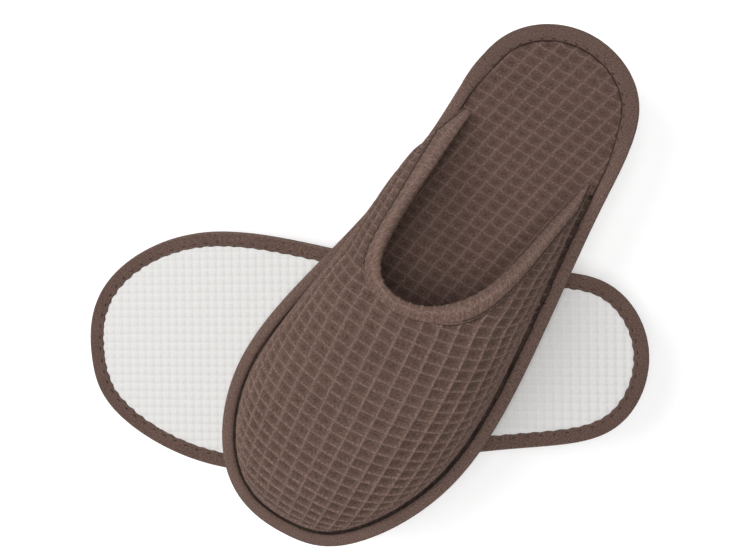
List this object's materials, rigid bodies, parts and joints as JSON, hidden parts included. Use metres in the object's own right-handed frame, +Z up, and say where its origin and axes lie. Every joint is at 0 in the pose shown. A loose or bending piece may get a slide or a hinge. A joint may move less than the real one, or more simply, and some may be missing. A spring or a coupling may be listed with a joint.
{
  "type": "pair of spa slippers",
  "caption": "Pair of closed-toe spa slippers in quilted waffle cloth with bound edges and white foam soles, one lying upside down and the other standing on it.",
  "frame": {"origin": "middle of the footprint of both slippers, on the surface they rest on", "axes": "+Z up; the top slipper's toe points along -Y, its little-toe side along +X"},
  "size_m": [0.2564, 0.282, 0.0932],
  "materials": {
    "waffle_cloth": "matte brown waffle weave with raised ridges round recessed cells",
    "hem_cloth": "matte brown plain cloth strip, slightly puckered",
    "binding_tape": "matte dark brown twill tape",
    "sewing_thread": "dark brown spun thread with a soft sheen",
    "lining_cloth": "matte brown brushed lining",
    "padding_foam": "soft open wadding",
    "cushion_foam": "matte open-cell foam",
    "outsole_foam": "satin white closed-cell foam embossed with small pyramids"
  },
  "bodies": {
    "lower_slipper": {"lower_outsole": "outsole_foam", "lower_cushion_foam": "cushion_foam", "lower_insole_cover": "waffle_cloth", "lower_vamp_lining": "lining_cloth", "lower_vamp_padding": "padding_foam", "lower_vamp_cover": "waffle_cloth", "lower_throat_hem": "hem_cloth", "lower_hem_stitching": "sewing_thread", "lower_edge_binding": "binding_tape", "lower_binding_lap": "binding_tape", "lower_binding_stitching": "sewing_thread"},
    "top_slipper": {"top_outsole": "outsole_foam", "top_cushion_foam": "cushion_foam", "top_insole_cover": "waffle_cloth", "top_vamp_lining": "lining_cloth", "top_vamp_padding": "padding_foam", "top_vamp_cover": "waffle_cloth", "top_throat_hem": "hem_cloth", "top_hem_stitching": "sewing_thread", "top_edge_binding": "binding_tape", "top_binding_lap": "binding_tape", "top_binding_stitching": "sewing_thread"}
  },
  "joints": [
    {"name": "lift", "type": "slide", "parent": "lower_slipper", "child": "top_slipper", "axis": [0, 0, 1], "range_m": [0, 0.15]}
  ]
}
